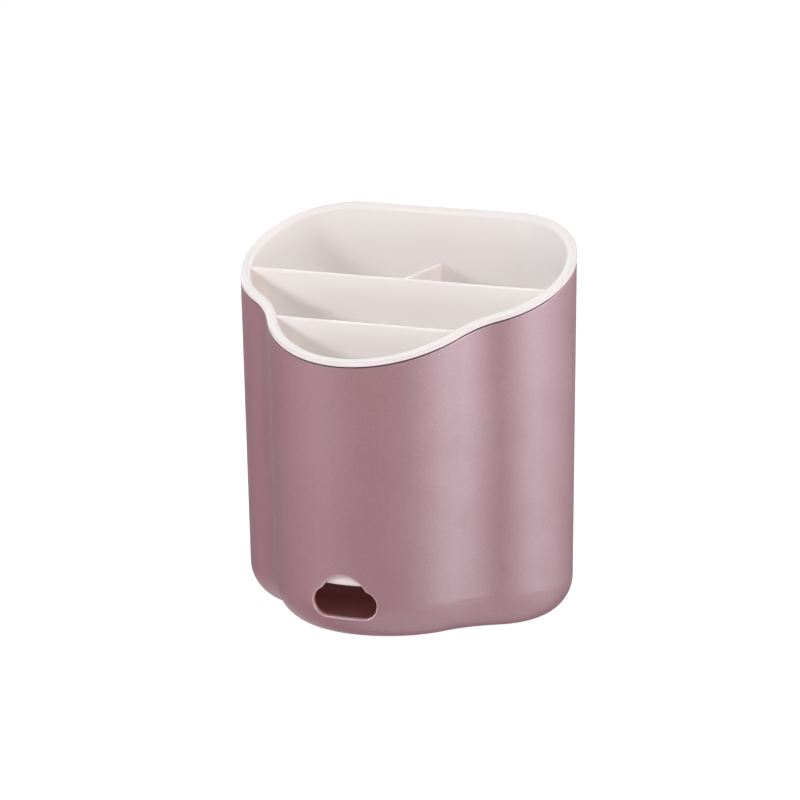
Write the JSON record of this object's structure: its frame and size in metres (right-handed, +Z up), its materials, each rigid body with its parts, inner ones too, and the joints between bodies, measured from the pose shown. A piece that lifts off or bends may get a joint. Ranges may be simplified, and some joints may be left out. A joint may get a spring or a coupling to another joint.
{
  "type": "chopstick holder",
  "caption": "Kitchen holder for chopsticks and cutlery: a trefoil outer shell and a lift-out liner with partitions, a sloping rim and a cloud-shaped outlet low on the front.",
  "frame": {"origin": "on the surface the holder stands on, under the middle of its bounding box", "axes": "+Z up, -Y towards the front lobe and the outlet, +X to the right seen from the front"},
  "size_m": [0.1528, 0.1122, 0.1703],
  "materials": {
    "shell_pearl": "pearly dusty pink, satin gloss",
    "liner_cream": "cream white, soft satin"
  },
  "bodies": {
    "shell": {"outer_shell": "shell_pearl"},
    "liner": {"inner_liner": "liner_cream", "long_divider": "liner_cream", "front_divider": "liner_cream", "cross_divider": "liner_cream"}
  },
  "joints": [
    {"name": "liner_lift", "type": "slide", "parent": "shell", "child": "liner", "axis": [0, 0, 1], "range_m": [0, 0.15]}
  ]
}
